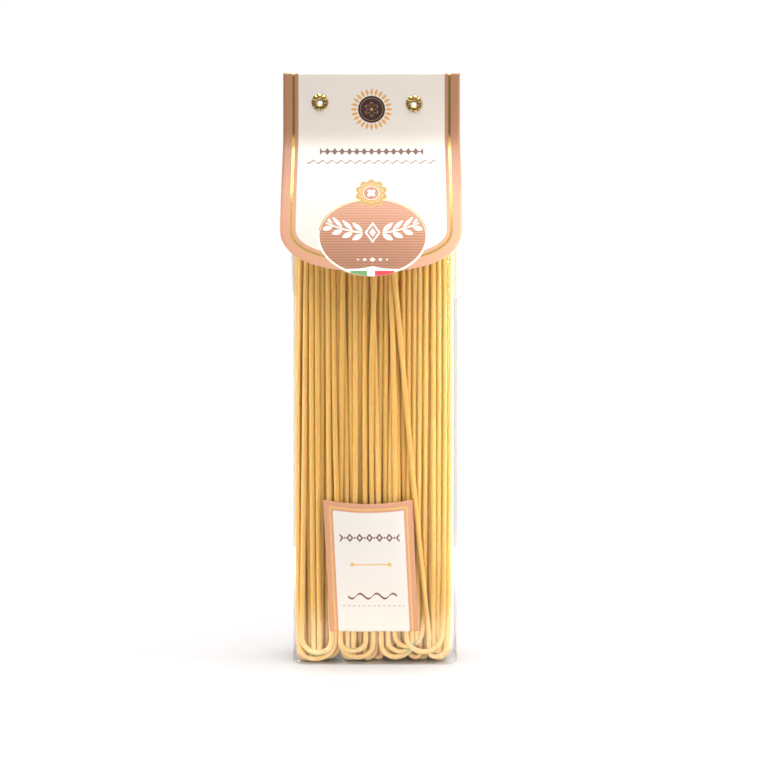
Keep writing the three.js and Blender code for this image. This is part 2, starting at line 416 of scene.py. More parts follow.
class StrandPlan:
    """Where every hairpin goes: nested bends at the base, and legs that settle against each other above.

    The legs settle in rounds: first they spread and smooth out, at the end they are only pushed apart. Bends
    aren't, and some legs still overlap when the rounds are over.
    """

    LEVELS = 15
    FOOT = 0.013
    HEADROOM = 0.008
    CLEARANCE = 0.0004
    BASE_GAP = 0.0002
    NARROWEST = 0.0024
    ROUNDS = 180
    SPREAD_ROUNDS = 150
    SMOOTH_ROUNDS = 168
    LOOSE_SPACING = 1.1
    CLOSE_SPACING = 1.01
    STIFFNESS = 0.22
    FOOT_PULL = 0.3

    def __init__(self, sizes, form):
        self.sizes = sizes
        self.form = form
        self.random = np.random.default_rng(sizes.seed)
        self.heights = np.linspace(self.FOOT, sizes.top + self.HEADROOM, self.LEVELS)
        self.plan_bends()
        self.settle_legs()

    def room(self, z):
        """Half width, half depth and corner radius left for the middle of a strand at a height."""
        gap = 0.5 * self.sizes.diameter + self.CLEARANCE
        slack = self.sizes.slack * (1 + 1.5 * ease((0.03 - z) / 0.03))
        bag = self.form
        depth = bag.half_depth(z) + 0.4 * bag.sizes.face_crown
        return bag.sizes.half_width - gap - slack, depth - gap, bag.corner_radius(z)

    def plan_bends(self):
        """Feet, width and lowest point of each hairpin, layer by layer from the front."""
        bends = list(self.front_bends())
        self.stray = len(bends) - 1
        bends += self.filling_bends()
        for layer in range(4, self.sizes.layers):
            for bend in self.row_of_bends(layer % 2 == 1):
                bends += self.nest(layer + 0.3, **bend)
        _, half_depth, _ = self.room(self.FOOT)
        layer, middle, half, self.low = (
            np.array([bend[part] for bend in bends]) for part in ("layer", "middle", "half", "low")
        )
        count, draw = len(bends), self.random
        depth = -half_depth + 2 * half_depth * (layer + 0.5) / self.sizes.layers
        turn = draw.normal(0, 0.05, count)
        reach = np.stack((half * np.cos(turn), half * np.sin(turn)), axis=1)
        centre = np.stack((middle, depth), axis=1)
        self.feet = np.concatenate((centre - reach, centre + reach))
        self.drop = half * draw.uniform(0.84, 1.06, count)
        tilt = draw.normal(0, 0.0010, count)
        spring = self.low + self.drop
        self.spring = np.concatenate((spring + tilt, spring - tilt))

    def front_bends(self):
        """The bends that show at the front of the bag. The last one belongs to the stray strand."""
        s = self.sizes
        stray_half = 0.0042
        return (
            {"layer": 0.0, "middle": -0.0295, "half": 0.0084, "low": 0.0052},
            {"layer": 0.95, "middle": -0.0297, "half": 0.0093, "low": 0.0016},
            {"layer": 0.95, "middle": -0.0297, "half": 0.0015, "low": 0.0046},
            {"layer": 0.0, "middle": -0.0106, "half": 0.0067, "low": 0.0062},
            {"layer": 0.95, "middle": -0.0088, "half": 0.0086, "low": 0.0025},
            {"layer": 0.95, "middle": -0.0120, "half": 0.0015, "low": 0.0062},
            {"layer": 0.95, "middle": 0.0120, "half": 0.0079, "low": 0.0028},
            {"layer": 0.95, "middle": 0.0151, "half": 0.0075, "low": 0.0056},
            {"layer": 0.95, "middle": 0.0182, "half": 0.0071, "low": 0.0085},
            {"layer": 0.0, "middle": 0.0262, "half": 0.0093, "low": 0.0056},
            {"layer": 0.95, "middle": s.stray_foot + stray_half, "half": 0.0014, "low": 0.0060},
            {"layer": 0.95, "middle": s.stray_foot + stray_half, "half": stray_half, "low": 0.0030},
        )

    def filling_bends(self):
        """Narrow bends close behind the front ones, whose legs fill the front from side to side."""
        half_width, _, _ = self.room(self.FOOT)
        blocks = 7
        pitch = 2 * half_width / (4 * blocks - 1)
        for row, block, step in itertools.product((0, 1), range(blocks), (0, 1)):
            yield {
                "layer": 1.95 + 1.5 * row + 0.75 * step,
                "middle": (4 * block + step + 1 + 0.5 * row) * pitch - half_width,
                "half": pitch,
                "low": 0.0016 + self.random.uniform(0, 0.0010),
            }

    def row_of_bends(self, staggered):
        """Hairpins of uneven width side by side. A staggered row starts and ends with a narrow one."""
        s, draw = self.sizes, self.random
        half_width, _, _ = self.room(self.FOOT)
        shares = np.maximum(1 + draw.normal(0, 0.13, s.columns), 0.75)
        if staggered:
            narrow = draw.uniform(0.38, 0.62)
            shares = np.concatenate(((narrow,), shares[1:], (1 - narrow,)))
        ends = (2 * half_width + s.diameter) * np.cumsum(np.append(0, shares / shares.sum()))
        ends -= half_width + 0.5 * s.diameter
        for left, right in zip(ends, ends[1:]):
            low = 0.5 * s.diameter + self.CLEARANCE + min(draw.exponential(0.0013), 0.005)
            yield {"middle": 0.5 * (left + right), "half": 0.5 * (right - left - s.diameter), "low": low}

    def nest(self, layer, middle, half, low):
        """One hairpin and the narrower ones that stand in it, each leaning to one of its sides."""
        s, draw = self.sizes, self.random
        bends = []
        for _ in range(draw.choice((1, 2, 3), p=(0.1, 0.4, 0.5))):
            bends.append({"layer": layer, "middle": middle, "half": half, "low": low})
            step = s.diameter * draw.uniform(1.02, 1.35)
            half -= step
            middle += (step - s.diameter) * draw.choice((-1, 1))
            low += s.diameter + draw.exponential(0.0020)
            layer += draw.normal(0, 0.16)
            if half < self.NARROWEST:
                break
        return bends

    def settle_legs(self):
        """Legs wander on their way up, spread to fill the bag, and are pushed apart round after round."""
        s, draw = self.sizes, self.random
        count = len(self.feet)
        rise = np.linspace(0, 1, self.LEVELS)[:, None, None]
        lean = draw.normal(0, 1, (1, count, 2)) * (s.lean, 0.6 * s.lean)
        swing = draw.normal(0, 1, (1, count, 2)) * (0.3 * s.lean, 0.25 * s.lean)
        legs = self.feet[None] + lean * ease(rise) + swing * np.sin(math.pi * 2 * rise)
        stray = self.stray
        stray_path = legs[:, stray].copy()
        stray_path[:, 0] += (s.stray_head - stray_path[:, 0]) * rise[:, 0, 0]
        front = -self.room(self.FOOT)[1] - 0.0002
        stray_path[:, 1] += (front - stray_path[:, 1]) * ease(rise[:, 0, 0] * 3.5)
        for step in range(self.ROUNDS):
            spreading = step < self.SPREAD_ROUNDS
            legs[:, stray] = (0, 0.5)
            for level, z in enumerate(self.heights):
                if spreading and level > 1:
                    self.press_outward(legs[level], z)
                    self.push_apart(legs[level], self.LOOSE_SPACING * s.diameter, 0.3)
                else:
                    self.push_apart(legs[level], self.CLOSE_SPACING * s.diameter, 0.42)
                self.keep_inside(legs[level], z)
                self.give_way(legs[level], stray_path[level])
            legs[:, stray] = stray_path
            legs[0] += self.FOOT_PULL * (self.feet - legs[0])
            if step < self.SMOOTH_ROUNDS:
                legs[1:-1] += self.STIFFNESS * (legs[:-2] + legs[2:] - 2 * legs[1:-1])
        self.legs = legs
        self.tops = s.top + draw.normal(0, 0.0028, count)

    def push_apart(self, places, spacing, strength):
        gap = places[:, None] - places[None]
        distance = np.hypot(gap[..., 0], gap[..., 1]) + 1e-9
        overlap = np.maximum(spacing - distance, 0)
        np.fill_diagonal(overlap, 0)
        places += strength * (gap * (overlap / distance)[..., None]).sum(axis=1)

    def give_way(self, places, stray):
        """Strands that the stray one crosses lie behind it."""
        reach = np.square(self.CLOSE_SPACING * self.sizes.diameter) - np.square(places[:, 0] - stray[0])
        places[:, 1] = np.maximum(places[:, 1], stray[1] + np.sqrt(np.maximum(reach, 0)))

    def press_outward(self, places, z, step=0.00006):
        """Strands crowd against the nearest wall of the bag and leave its core loose."""
        limit = np.array(self.room(z)[:2])
        nearest = np.argmin(limit - np.abs(places), axis=1)
        row = np.arange(len(places))
        places[row, nearest] += step * np.sign(places[row, nearest])

    def keep_inside(self, places, z):
        half_width, half_depth, radius = self.room(z)
        limit = np.array((half_width, half_depth))
        np.clip(places, -limit, limit, out=places)
        past = np.abs(places) - (limit - radius)
        far = np.hypot(past[:, 0], past[:, 1])
        outside = (past > 0).all(axis=1) & (far > radius)
        pull = (radius / far[outside])[:, None]
        places[outside] = np.sign(places[outside]) * (limit - radius + past[outside] * pull)

    def leg_points(self, which, z):
        """Places of some legs at some heights, on smooth curves through the settled levels."""
        t = (z - self.heights[0]) / (self.heights[1] - self.heights[0])
        t = np.clip(t, 0, self.LEVELS - 1.001)
        i = t.astype(int)
        f = (t - i)[..., None]
        at = [self.legs[np.clip(i + k, 0, self.LEVELS - 1), which] for k in (-1, 0, 1, 2)]
        curve = 2 * at[1] + (at[2] - at[0]) * f
        curve += (2 * at[0] - 5 * at[1] + 4 * at[2] - at[3]) * f**2
        curve += (3 * at[1] - at[0] - 3 * at[2] + at[3]) * f**3
        return 0.5 * curve

    def paths(self, leg_steps=19, bend_steps=12):
        """One line of points for each hairpin, from one cut end round the bend to the other."""
        count = len(self.low)
        sides = []
        for first in (0, count):
            which = np.arange(first, first + count)
            rise = np.linspace(1, 0, leg_steps)[:, None]
            spring = self.spring[which]
            z = spring + (self.tops[which] - spring) * rise**1.15
            place = self.leg_points(np.broadcast_to(which, z.shape), z)
            sides.append(np.concatenate((place, z[..., None]), axis=2))
        start, end = sides[0][-1], sides[1][-1]
        turn = np.linspace(0, math.pi, bend_steps + 1)[1:-1, None, None]
        bend = (start + end) / 2 + (start - end) / 2 * np.cos(turn)
        bend[..., 2] -= self.drop * np.sin(turn[..., 0]) ** 0.92
        bend[..., 2] = np.maximum(bend[..., 2], 0.5 * self.sizes.diameter + self.BASE_GAP)
        lines = np.concatenate((sides[0], bend, sides[1][::-1])).transpose(1, 0, 2)
        return lines + (self.sizes.shift, 0, 0)


def tube_rings(paths, radii, sides):
    """Rings of points round each path, and where each point is in its strand: across twice and along."""
    along = np.gradient(paths, axis=1)
    along /= np.linalg.norm(along, axis=2, keepdims=True)
    across = paths[:, -1] - paths[:, 0]
    normal = np.stack((-across[:, 1], across[:, 0], np.zeros(len(paths))), axis=1)
    normal /= np.linalg.norm(normal, axis=1, keepdims=True)
    side = normal[:, None] - along * (normal[:, None] * along).sum(axis=2, keepdims=True)
    side /= np.linalg.norm(side, axis=2, keepdims=True)
    third = np.cross(along, side)
    turn = np.linspace(0, 2 * math.pi, sides, endpoint=False)
    cos, sin = np.cos(turn)[:, None], np.sin(turn)[:, None]
    radius = radii[:, None, None, None]
    rings = paths[:, :, None] + radius * (side[:, :, None] * cos + third[:, :, None] * sin)
    run = np.linalg.norm(np.diff(paths, axis=1), axis=2)
    run = np.concatenate((np.zeros((len(paths), 1)), run.cumsum(axis=1)), axis=1)
    grain = np.empty_like(rings)
    grain[..., 0] = radii[:, None, None] * np.cos(turn)
    grain[..., 1] = radii[:, None, None] * np.sin(turn)
    grain[..., 2] = run[..., None]
    return rings, grain / MM


def pasta_finish(tints):
    finish = Finish(bpy.data.materials.new("dry_pasta"))
    grain = finish.attribute("grain")
    tone = finish.attribute("tone", "Fac")
    drift = finish.speckle(finish.stretch(grain, (0.5, 0.5, 0.03)), 1.0, 3.0)
    streaks = finish.speckle(finish.stretch(grain, (6.0, 6.0, 0.25)), 1.0, 3.0, 0.6)
    grit = finish.speckle(grain, 5.5, 4.0, 0.65)
    depth = (0.55 * tone + 0.9 * drift - 0.25).clamped()
    tint = finish.mix(depth, tuple(tints.pasta), tuple(tints.pasta_deep))
    # Painted light: strands are painted paler in the flour colour below 7 mm, fading out by 34 mm, for the
    # light that the floor throws back on the bends. The streaks and grit are the pasta's own flour bloom.
    bend = finish.split(finish.node("ShaderNodeTexCoord", output="Object"))[2].over(0.034, 0.007)
    bloom_and_painted_light = (streaks.over(0.45, 0.78) * 0.5 + grit.over(0.52, 0.8) * 0.5 + 0.7 * bend).clamped()
    tint = finish.mix(bloom_and_painted_light, tint, tuple(tints.flour_and_painted_light))
    height = streaks * 0.6 + grit * 0.5
    return finish.principled(
        base_color=tint,
        roughness=0.62 + 0.2 * grit,
        subsurface_weight=1.0,
        specular_ior_level=0.12,
        subsurface_radius=(1.0, 0.6, 0.3),
        subsurface_scale=0.0016,
        normal=finish.bump(height, 0.00006, 0.55),
    )


class SPAGHETTI_OT_strands(bpy.types.Operator):
    """Fill the bag with hairpin strands that lean on each other"""

    bl_idname = "spaghetti.strands"
    bl_label = "Strands"

    SIDES = 14
    GRAIN_STEP = 97.0

    def execute(self, context):
        pack = context.scene.spaghetti_pack
        plan = StrandPlan(pack.strands, BagForm(pack.bag))
        paths = plan.paths()
        draw = np.random.default_rng(pack.strands.seed + 1)
        radii = 0.5 * pack.strands.diameter * draw.uniform(0.96, 1.02, len(paths))
        rings, grain = tube_rings(paths, radii, self.SIDES)
        count, rows = paths.shape[:2]
        pattern = grid_faces(rows, self.SIDES, wrap=True)
        pattern.append(tuple(range(self.SIDES))[::-1])
        pattern.append(tuple((rows - 1) * self.SIDES + j for j in range(self.SIDES)))
        size = rows * self.SIDES
        faces = [tuple(k + n * size for k in face) for n in range(count) for face in pattern]
        finish = pasta_finish(pack.finishes)
        piece = new_piece("strands", rings.reshape(-1, 3), faces, finish, ["bag"])
        flat_ends = [len(face) > 4 for face in pattern] * count
        piece.data.polygons.foreach_set("use_smooth", [not flat for flat in flat_ends])
        grain[..., 2] += (self.GRAIN_STEP * np.arange(count))[:, None, None]
        store(piece, "grain", "FLOAT_VECTOR", grain)
        tone = np.repeat(draw.uniform(0, 1, count), size)
        store(piece, "tone", "FLOAT", tone)
        return {"FINISHED"}


# Film


def film_finish(name, haze, roughness):
    """Thin clear film: what it doesn't reflect goes straight through."""
    finish = Finish(bpy.data.materials.new(name))
    place = finish.node("ShaderNodeTexCoord", output="Object")
    ripple = finish.speckle(finish.stretch(place, (260.0, 260.0, 60.0)), 1.0, 3.0)
    normal = finish.bump(ripple, 0.0002, 0.35)
    facing = finish.node("ShaderNodeLayerWeight", None, {"Blend": 0.5, "Normal": normal}, output="Facing")
    smear = finish.speckle(finish.stretch(place, (40.0, 40.0, 9.0)), 1.0, 2.0)
    low = finish.split(place)[2].over(0.045, 0.004)
    gloss = haze + 0.012 * smear + 0.05 * low * smear + (0.85 - haze) * facing**5.0
    clear = finish.node("ShaderNodeBsdfTransparent", None, {"Color": (0.985, 0.985, 0.98, 1.0)})
    shine = finish.node("ShaderNodeBsdfGlossy", None, {"Roughness": roughness, "Normal": normal})
    return finish.show(finish.node("ShaderNodeMixShader", None, {0: gloss, 1: clear, 2: shine}))


class FilmShell:
    """The clear envelope, with the slack and the creases that it has where the strands don't fill it."""

    FACE_STEPS = 64
    SIDE_STEPS = 20
    CORNER_STEPS = 7
    PLEAT_DEPTH = 0.0009
    PLEAT_WIDTH = 0.0012
    LOW_END = 0.030

    def __init__(self, sizes):
        self.form = BagForm(sizes)
        self.sizes = sizes

    def half_ring(self, z, inset, side):
        s = self.sizes
        a = s.half_width - inset
        b = float(self.form.half_depth(z)) - inset
        r = float(self.form.corner_radius(z))
        shoulder = np.clip(self.form.shoulder(z), 0, 1)
        fold = s.gusset_depth * math.sin(math.pi * shoulder) ** 2
        turn = np.linspace(0, math.pi / 2, self.CORNER_STEPS + 1)[1:]
        shares = np.linspace(0, 1, self.SIDE_STEPS // 2 + 1)[1:] - 0.5 / self.SIDE_STEPS
        shares = np.append(shares[:-1], 1.0)
        crease = self.PLEAT_DEPTH * np.exp(-((shares * (b - r) / self.PLEAT_WIDTH) ** 2))
        crease = crease * (1 - ease(shoulder * 4)) * ease(z / self.LOW_END)
        side_x = a - fold * (1 - shares) - crease
        side_y = (b - r) * shares
        face_x = np.linspace(-(a - r), a - r, self.FACE_STEPS + 1)[1:]
        face_y = b + self.form.swell(face_x, z, side)
        x = [-side_x, -(a - r) - r * np.cos(turn), face_x, a - r + r * np.sin(turn), side_x[:-1][::-1]]
        y = [side_y, b - r + r * np.sin(turn), face_y, b - r + r * np.cos(turn), side_y[:-1][::-1]]
        return np.concatenate(x), side * np.concatenate(y)

    def ring(self, z, inset=0.0):
        front_x, front_y = self.half_ring(z, inset, FRONT)
        back_x, back_y = self.half_ring(z, inset, BACK)
        return np.concatenate((front_x, back_x[::-1])), np.concatenate((front_y, back_y[::-1]))

    def crumple(self, x, y, z):
        """How far the film stands in or out: creased in the empty base corners, drawn over the shoulder."""
        s = self.sizes
        at = Vector((x, y, z))
        streak = 0.00010 * noise.noise(Vector((x * 110, y * 110, z * 14)))
        corner = ease((abs(x) - 0.022) / 0.016) * ease((0.026 - z) / 0.020)
        fine = at * 290 + Vector((5, 2, 8))
        creased = 1 - 2.4 * abs(noise.noise(at * 120)) - 0.8 * abs(noise.noise(fine))
        drawn = ease(self.form.shoulder(z) * 3) * (1 - ease((z - s.neck_bottom + 0.012) / 0.012))
        pull = noise.noise(Vector((x * 150, y * 60, z * 30)))
        return streak + 0.0010 * corner * (creased - 0.6) + 0.0006 * drawn * pull

    def rows(self):
        s = self.sizes
        turn = np.linspace(0, math.pi / 2, 5)
        edge = [(s.base_radius * (1 - math.cos(t)), s.base_radius * (1 - math.sin(t))) for t in turn]
        low = np.linspace(s.base_radius, self.LOW_END, 22)[1:]
        body = np.linspace(self.LOW_END, s.fill_height, 44)[1:]
        shoulder = np.linspace(s.fill_height, s.neck_bottom, 30)[1:]
        neck = np.linspace(s.neck_bottom, s.neck_top, 6)[1:]
        return edge + [(z, 0.0) for z in np.concatenate((low, body, shoulder, neck))]

    def points(self):
        out = []
        for z, inset in self.rows():
            x, y = self.ring(z, inset)
            along_x = np.roll(x, -1) - np.roll(x, 1)
            along_y = np.roll(y, -1) - np.roll(y, 1)
            size = np.hypot(along_x, along_y)
            push = np.array([self.crumple(px, py, z) for px, py in zip(x, y)]) * (inset == 0)
            x, y = x + push * along_y / size, y - push * along_x / size
            out.append(np.stack((x, y, np.full_like(x, max(z, 0.00004))), axis=1))
        return np.array(out)


class SPAGHETTI_OT_film(bpy.types.Operator):
    """Make the clear bag round the strands, with its back seam"""

    bl_idname = "spaghetti.film"
    bl_label = "Film"

    SEAM_HALF_WIDTH = 0.0045
    SEAM_END = 0.004
    RIB_HALF_WIDTH = 0.0036
    RIB_HEIGHT = 0.00006
    RIB_PITCH = 0.0014

    def execute(self, context):
        pack = context.scene.spaghetti_pack
        shell = FilmShell(pack.bag)
        points = shell.points()
        rows, columns = points.shape[:2]
        faces = grid_faces(rows, columns, wrap=True)
        half = columns // 2
        for j in range(half - 1):
            mirror = columns - 1 - j
            faces.append((j, mirror, mirror - 1, j + 1))
            end = (rows - 1) * columns
            faces.append((end + j, end + j + 1, end + mirror - 1, end + mirror))
        clear = film_finish("clear_film", 0.005, 0.13)
        new_piece("film", points.reshape(-1, 3), faces, clear, ["bag"])
        self.make_seam(shell.form, film_finish("pressed_film", 0.10, 0.3))
        return {"FINISHED"}

    def make_seam(self, form, finish):
        """The pressed seam down the middle of the back, with its fine cross ribs."""
        across = np.linspace(-self.SEAM_HALF_WIDTH, self.SEAM_HALF_WIDTH, 9)
        up = np.linspace(self.SEAM_END, form.sizes.neck_bottom - self.SEAM_END, 760)
        x, z = np.meshgrid(across, up)
        rib = self.RIB_HEIGHT * np.sin(2 * math.pi * z / self.RIB_PITCH) * (np.abs(x) < self.RIB_HALF_WIDTH)
        y = form.face(x, z, BACK) + 0.00035 + rib
        points = np.stack((x, y, z), axis=2)
        faces = [face[::-1] for face in grid_faces(len(up), len(across))]
        new_piece("back_seam", points.reshape(-1, 3), faces, finish, ["bag"])


# Header card


class CardForm:
    """The sheet's outline, and the curve that each flap follows from the fold to its lower edge."""

    TIP_HALF_WIDTH = 0.0006
    ROW_STEP = 0.0015
    LEAST_STEP = 0.00012
    EDGE_STEPS = 600

    def __init__(self, sizes):
        self.sizes = sizes
        s = sizes
        fold = s.fold_radius * math.pi / 2
        neck = s.fold_top - 0.5 * s.thickness - s.fold_radius - s.bend_height
        bend = s.bend_radius * s.flare_angle
        curl = s.curl_radius * (s.flare_angle - s.hang_angle)
        stops = np.cumsum((0, fold, neck, bend, s.slope_length, curl))
        leans = (math.pi / 2, 0, 0, s.flare_angle, s.flare_angle, s.hang_angle)
        self.neck_end = stops[2]
        self.front_edge = stops[-1] + s.front_end
        self.front_length = self.front_edge + s.plaque_drop
        self.back_length = stops[-1] + s.back_end
        self.run = np.linspace(0, self.back_length + 0.01, 6000)
        lean = np.interp(self.run, stops, leans)
        step = self.run[1] - self.run[0]
        self.lean = lean
        self.out = np.concatenate(((0,), np.cumsum(np.sin(0.5 * (lean[1:] + lean[:-1])) * step)))
        fall = np.concatenate(((0,), np.cumsum(np.cos(0.5 * (lean[1:] + lean[:-1])) * step)))
        self.height = s.fold_top - 0.5 * s.thickness - fall

    def at(self, along):
        """Distance out from the middle plane, height and lean, at distances from the fold."""
        return (np.interp(along, self.run, part) for part in (self.out, self.height, self.lean))

    def front_half_width(self, along):
        s = self.sizes
        rise = np.maximum(self.front_edge - along, 0)
        drop = np.maximum(1 - rise / s.corner_height, 0)
        return s.half_width * np.maximum(1 - drop**s.corner_roundness, 0) ** (1 / s.corner_roundness)

    def plaque_half_width(self, along):
        s = self.sizes
        level = (along - self.front_length + s.plaque_half_height) / s.plaque_half_height
        return s.plaque_half_width * np.sqrt(np.maximum(1 - level**2, 0))

    def back_half_width(self, along):
        s = self.sizes
        drop = np.clip(s.back_corner - (self.back_length - along), 0, s.back_corner)
        return s.half_width - s.back_corner + np.sqrt(np.maximum(s.back_corner**2 - drop**2, 0))

    def half_width(self, along, side):
        if side == BACK:
            return self.back_half_width(along)
        widest = np.maximum(self.front_half_width(along), self.plaque_half_width(along))
        return np.maximum(widest, self.TIP_HALF_WIDTH)

    def rows(self, side):
        """Distances from the fold, closer together where the outline turns in."""
        s = self.sizes
        total = self.front_length if side == FRONT else self.back_length
        fold = np.linspace(0, s.fold_radius * math.pi / 2, 7)
        even = np.arange(fold[-1] + 0.0012, total - 0.004, self.ROW_STEP)
        turn = np.linspace(0, math.pi / 2, 26)
        if side == BACK:
            curved = [total - s.back_corner * (1 - np.sin(turn))]
        else:
            power = 2 / s.corner_roundness
            corner = self.front_edge - s.corner_height * (1 - np.cos(turn) ** power)
            bulge = self.front_length - s.plaque_half_height * (1 - np.cos(turn[:16]))
            curved = [corner, bulge, self.notch()]
        rows = np.unique(np.round(np.concatenate((fold, even, *curved)), 6))
        return rows[np.append(True, np.diff(rows) > self.LEAST_STEP)]

    def notch(self):
        """Where the oval's outline leaves the lower edge of the front flap."""
        along = np.linspace(self.front_edge - 0.010, self.front_edge, 2000)
        past = self.plaque_half_width(along) > self.front_half_width(along)
        return along[past][:1]

    def inset(self, across, along, side):
        """Distance in from the cut edge, without the oval."""
        run = np.linspace(-0.03, self.front_edge if side == FRONT else self.back_length, 900)
        turn = np.linspace(0, math.pi / 2, 500)
        s = self.sizes
        if side == FRONT:
            power = 2 / s.corner_roundness
            run = np.concatenate((run, self.front_edge - s.corner_height * (1 - np.cos(turn) ** power)))
            width = self.front_half_width(run)
        else:
            run = np.concatenate((run, np.full(self.EDGE_STEPS, self.back_length)))
            width = self.back_half_width(run)
            width[-self.EDGE_STEPS :] = np.linspace(0, s.half_width - s.back_corner, self.EDGE_STEPS)
        ax, al = np.abs(across).ravel(), along.ravel()
        best = np.full(ax.shape, 1.0)
        for w, r in zip(np.array_split(width, 20), np.array_split(run, 20)):
            best = np.minimum(best, np.hypot(ax[:, None] - w, al[:, None] - r).min(axis=1))
        return best.reshape(np.shape(across))


class CardPrint:
    """The print and the foil, drawn on distances across the card and down from the fold, in millimetres."""

    BORDER_WIDTH = 8.1
    FOIL_MIDDLE = 5.55
    FOIL_HALF_WIDTH = 0.70
    ROSETTE_MIDDLE = 20.3
    LOZENGES_MIDDLE = 43.8
    LOZENGE_PITCH = 3.9
    WAVE_MIDDLE = 50.4
    WAVE_LENGTH = 4.9
    CROWN_MIDDLE = 69.8
    PLAQUE_MIDDLE = 94.4
    PLAQUE_SHIFT = 0.75
    RULING_PITCH = 1.42

    def __init__(self, tints):
        self.tints = tints
        self.finish = Finish(bpy.data.materials.new("printed_board"))
        self.across, self.down, self.inset = self.finish.split(self.finish.attribute("flat"))
        self.tint = None
        self.metal = None

    def lay(self, mask, tint, metal=False):
        """Prints a colour, or lays foil, over what is there."""
        self.tint = self.finish.mix(mask, self.tint, tint if isinstance(tint, Value) else tuple(tint))
        if metal:
            self.metal = mask if self.metal is None else self.metal.most(mask)
        elif self.metal is not None:
            self.metal = self.metal * (1 - mask)

    def ring_distance(self, across, down):
        return (across * across + down * down).root()

    def lozenge(self, across, down, half_width, half_height):
        slope = 1 / math.hypot(1 / half_width, 1 / half_height)
        return (abs(across) / half_width + abs(down) / half_height - 1) * slope

    def bar(self, across, down, half_width, half_height):
        return (abs(across) - half_width).most(abs(down) - half_height)

    def oval(self, across, down, half_width, half_height):
        """Signed distance to an oval, close to its edge."""
        x, y = across / half_width, down / half_height
        fall = ((x / half_width) ** 2.0 + (y / half_height) ** 2.0).root() * 2.0 + 0.0001
        return (x * x + y * y - 1) / fall

    def make(self):
        finish, tints = self.finish, self.tints
        paper = finish.speckle(self.finish.attribute("flat"), 1.6, 4.0, 0.6)
        fibre = finish.speckle(finish.stretch(self.finish.attribute("flat"), (1.0, 0.12, 1.0)), 4.0, 3.0)
        shade = tuple(0.93 * c for c in tints.cream)
        self.tint = finish.mix(paper.over(0.3, 0.75) * 0.6, tuple(tints.cream), shade)
        self.print_border(fibre)
        self.print_rules()
        self.print_rosette()
        self.print_plaque(fibre)
        self.print_crown()
        worn = abs(self.down).over(1.6, 0.5) * paper.over(0.45, 0.6)
        self.lay(worn * 0.5, tints.white)
        metal = self.metal
        height = paper * 0.35 + fibre * 0.25 - metal * 0.6
        return finish.principled(
            base_color=self.tint,
            metallic=metal,
            roughness=0.45 - 0.27 * metal + 0.1 * paper,
            normal=finish.bump(height, 0.00005, 0.6),
        )

    def print_border(self, fibre):
        """Rose band, foil line and narrow rose band along the cut edge of both flaps."""
        tints = self.tints
        deep = tuple(0.8 * c for c in tints.rose)
        rose = self.finish.mix(fibre.over(0.35, 0.7), tuple(tints.rose), deep)
        # Painted light: the rose band is painted paler from 46 to 82 mm below the fold, where the flaps
        # slope out under the top light.
        rose = self.finish.mix(abs(self.down).over(46.0, 82.0), rose, tuple(tints.rose_pale_and_lit))
        self.lay((self.inset - self.BORDER_WIDTH).inside(), rose)
        foil = abs(self.inset - self.FOIL_MIDDLE) - self.FOIL_HALF_WIDTH
        self.lay(foil.inside(), tints.gold, metal=True)

    def lay_front(self, mask, tint, metal=False):
        """Prints on the front flap only."""
        self.lay(mask * self.down.over(2.0, 3.0), tint, metal)

    def print_rules(self):
        """A row of lozenges and a fine wave across the bend of the front flap."""
        tints = self.tints
        across, down = self.across, self.down - self.LOZENGES_MIDDLE
        span = abs(across)
        within = (span - 27.4).inside()
        pitch = self.LOZENGE_PITCH
        row = self.lozenge(across.wrapped(pitch), down, 1.6, 2.3).inside()
        dots = (self.ring_distance((across + 0.5 * pitch).wrapped(pitch), down) - 0.55).inside()
        self.lay_front((row + dots).clamped() * within, tints.brown)
        lower = self.down - self.WAVE_MIDDLE
        wave = lower - (across * (2 * math.pi / self.WAVE_LENGTH)).sine() * 0.8
        swell = 0.16 + 0.2 * abs((across * (math.pi / self.WAVE_LENGTH)).sine())
        thread = (abs(wave) * 0.72 - swell).inside() * (span - 34.2).inside()
        self.lay_front(thread * 0.8, tints.brown)

    def print_rosette(self):
        """Dark disc in a ring of copper petals, between the eyelets."""
        tints = self.tints
        across, down = self.across, self.down - self.ROSETTE_MIDDLE
        distance = self.ring_distance(across, down)
        bearing = down.bearing(across)
        beside = abs((bearing * 12.0).sine()) * distance * (1 / 12)
        petal = beside - 0.66 * (1 - ((distance - 9.3) / 2.0) ** 2.0)
        self.lay_front(petal.inside(), tints.copper)
        self.lay_front((distance - 7.2).inside(), tints.plum)
        self.lay_front((abs(distance - 6.0) - 0.12).inside() * 0.55, tints.copper)
        flower = distance - 1.2 - abs((bearing * 3.0).sine()) * 2.4
        self.lay_front((abs(flower) - 0.2).inside() * 0.6, tints.copper)
        self.lay_front((distance - 0.8).inside() * 0.7, tints.copper)

